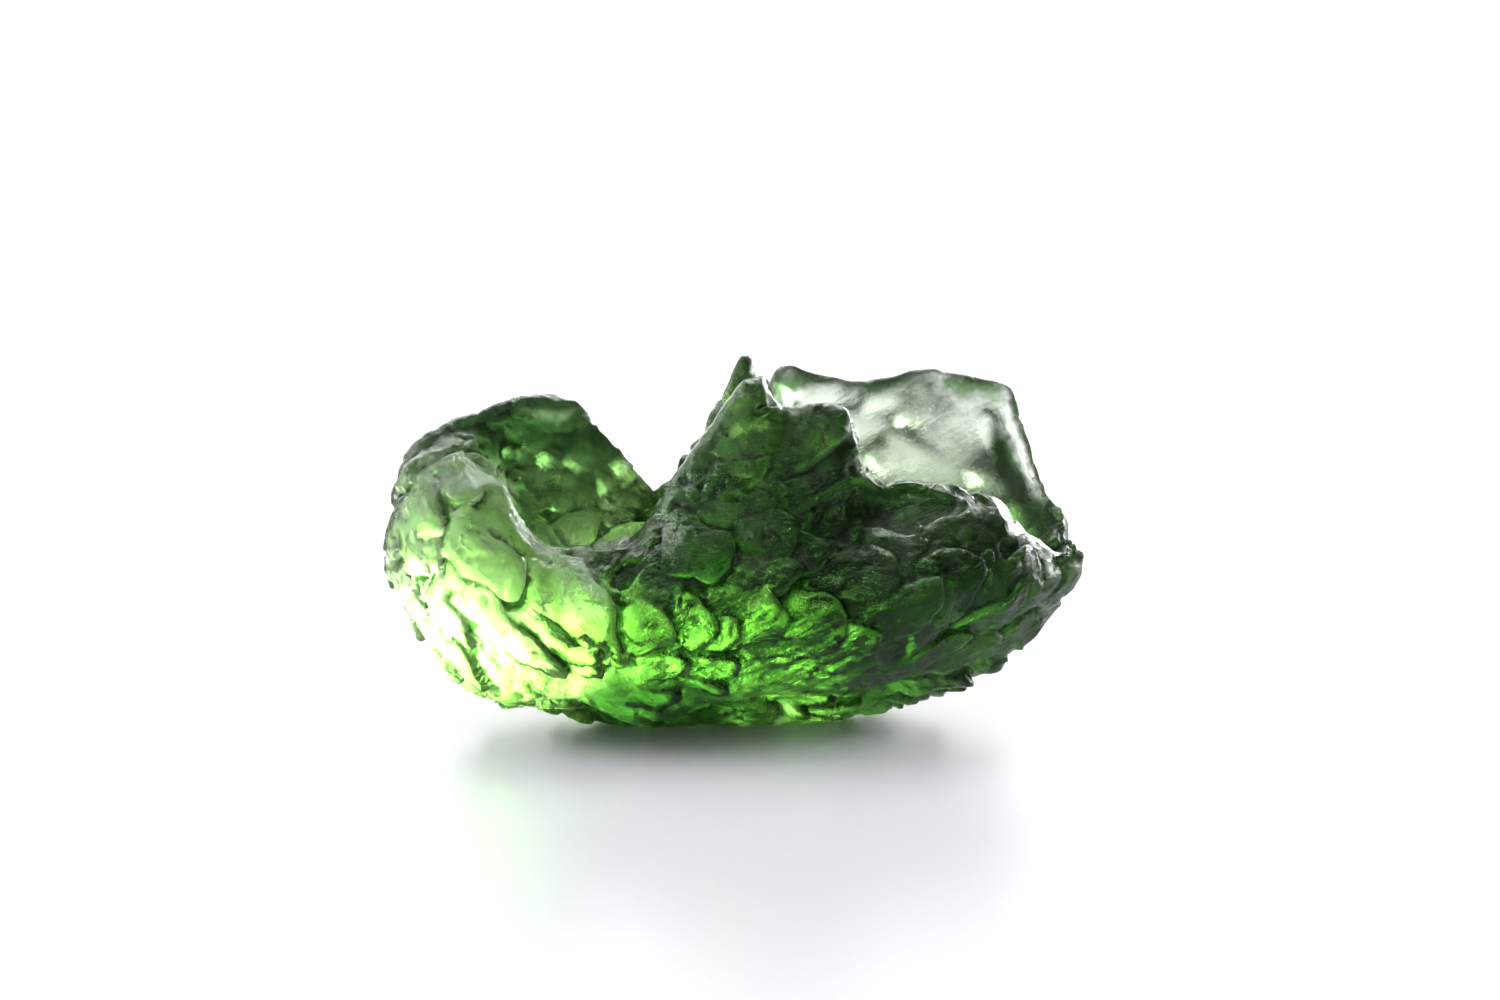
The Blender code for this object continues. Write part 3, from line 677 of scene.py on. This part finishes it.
# The table
TABLE_HALF_WIDTH = 3.0
table_mesh = bpy.data.meshes.new("table")
bm = bmesh.new()
bmesh.ops.create_grid(bm, size=TABLE_HALF_WIDTH)
bm.to_mesh(table_mesh)
bm.free()
table = bpy.data.objects.new("table", table_mesh)
table_mesh.materials.append(white_table())
bpy.context.scene.collection.objects.link(table)


# Light
AIM = Vector((0, 0, 0.006))
STONE_LAMP_AWAY, TABLE_LAMP_AWAY = 0.3, 1.2
ROOM_ON_TABLE, ROOM_SEEN = 0.86, 1.1
ROOM_AROUND, ROOM_BEHIND = 0.12, 3.2  # in the glass, the room is bright only behind the stone
BEHIND_FROM, BEHIND_FULL = 0.8, 0.97


def softbox(
    name, turn, raised, width, height, brightness, receivers,
    mirrored=True, through=True, away=STONE_LAMP_AWAY,
):
    """A soft lamp aimed at the stone; turn 0 is behind the camera and 90 is to the right.

    One that isn't mirrored lights the stone only through the glass, one that isn't through lights it
    only as a reflection, and only the receivers are lit at all.
    """
    round_z, lift = math.radians(turn), math.radians(raised)
    way = Vector((math.sin(round_z) * math.cos(lift), -math.cos(round_z) * math.cos(lift), math.sin(lift)))
    lamp = bpy.data.lights.new(name, "AREA")
    lamp.shape = "RECTANGLE"
    lamp.size, lamp.size_y = width, height
    lamp.energy = brightness * math.pi * width * height
    light = bpy.data.objects.new(name, lamp)
    light.location = way * away + AIM
    light.rotation_mode = "QUATERNION"
    light.rotation_quaternion = (-way).to_track_quat("-Z", "Y")
    light.visible_camera = False
    light.visible_glossy = mirrored
    light.visible_transmission = through
    light.light_linking.receiver_collection = receivers
    bpy.context.scene.collection.objects.link(light)


stone_only = bpy.data.collections.new("lit_by_the_stone_lamps")
stone_only.objects.link(stone)
table_only = bpy.data.collections.new("lit_by_the_table_lamps")
table_only.objects.link(table)
softbox("back_right", 156, 8, 0.14, 0.12, 140, stone_only, mirrored=False)
softbox("far_right", 128, 8, 0.12, 0.10, 60, stone_only, mirrored=False)
softbox("back_glint", 154, 12, 0.05, 0.05, 40, stone_only)
softbox("sky_glint", 176, 46, 0.12, 0.04, 30, stone_only, through=False)
softbox("overhead", 180, 70, 0.26, 0.20, 2.0, stone_only)
softbox("back_left", 222, 36, 0.14, 0.12, 4, stone_only, through=False)
softbox("left_glint", 252, 20, 0.08, 0.08, 35, stone_only, through=False)
softbox("left", 290, 25, 0.10, 0.10, 8, stone_only)
softbox("front_top", 0, 48, 0.06, 0.03, 60, stone_only)
softbox("table_back", 180, 50, 0.8, 0.5, 1.6, table_only, away=TABLE_LAMP_AWAY)
softbox("table_right", 102, 28, 0.8, 0.32, 8, table_only, away=TABLE_LAMP_AWAY)
softbox("table_left", 258, 28, 0.8, 0.32, 8, table_only, away=TABLE_LAMP_AWAY)

# The room: as the glass shows it, as it lights the table and as the camera sees it
world = bpy.data.worlds.new("white room")
bpy.context.scene.world = world
world.use_nodes = True
nodes, links = world.node_tree.nodes, world.node_tree.links
room = nodes["Background"]
seen = nodes.new("ShaderNodeBackground")
seen.inputs["Strength"].default_value = ROOM_SEEN
way = nodes.new("ShaderNodeTexCoord")
split = nodes.new("ShaderNodeSeparateXYZ")
links.new(way.outputs["Generated"], split.inputs["Vector"])
depth = nodes.new("ShaderNodeMapRange")
depth.interpolation_type = "SMOOTHSTEP"
depth.inputs["From Min"].default_value = BEHIND_FROM
depth.inputs["From Max"].default_value = BEHIND_FULL
depth.inputs["To Min"].default_value = ROOM_AROUND
depth.inputs["To Max"].default_value = ROOM_BEHIND
links.new(split.outputs["Y"], depth.inputs["Value"])
links.new(depth.outputs["Result"], room.inputs["Strength"])
room.inputs["Color"].default_value = (1, 1, 1, 1)
ray = nodes.new("ShaderNodeLightPath")
plain = nodes.new("ShaderNodeBackground")
plain.inputs["Strength"].default_value = ROOM_ON_TABLE
soft = nodes.new("ShaderNodeMixShader")
links.new(ray.outputs["Is Diffuse Ray"], soft.inputs["Fac"])
links.new(room.outputs["Background"], soft.inputs[1])
links.new(plain.outputs["Background"], soft.inputs[2])
mix = nodes.new("ShaderNodeMixShader")
links.new(ray.outputs["Is Camera Ray"], mix.inputs["Fac"])
links.new(soft.outputs["Shader"], mix.inputs[1])
links.new(seen.outputs["Background"], mix.inputs[2])
links.new(mix.outputs["Shader"], nodes["World Output"].inputs["Surface"])
bpy.context.scene.view_settings.view_transform = "Standard"

# The camera
TARGET = Vector((0.00072, 0, 0.0090))
DISTANCE = 0.300
SENSOR_WIDTH, FOCAL_LENGTH = 36, 180
camera = bpy.data.objects.new("camera", bpy.data.cameras.new("camera"))
camera.data.sensor_width = SENSOR_WIDTH
camera.data.lens = FOCAL_LENGTH
back = -view_axes()[0]
camera.location = TARGET + back * DISTANCE
camera.rotation_mode = "QUATERNION"
camera.rotation_quaternion = (-back).to_track_quat("-Z", "Y")
bpy.context.scene.collection.objects.link(camera)
bpy.context.scene.camera = camera
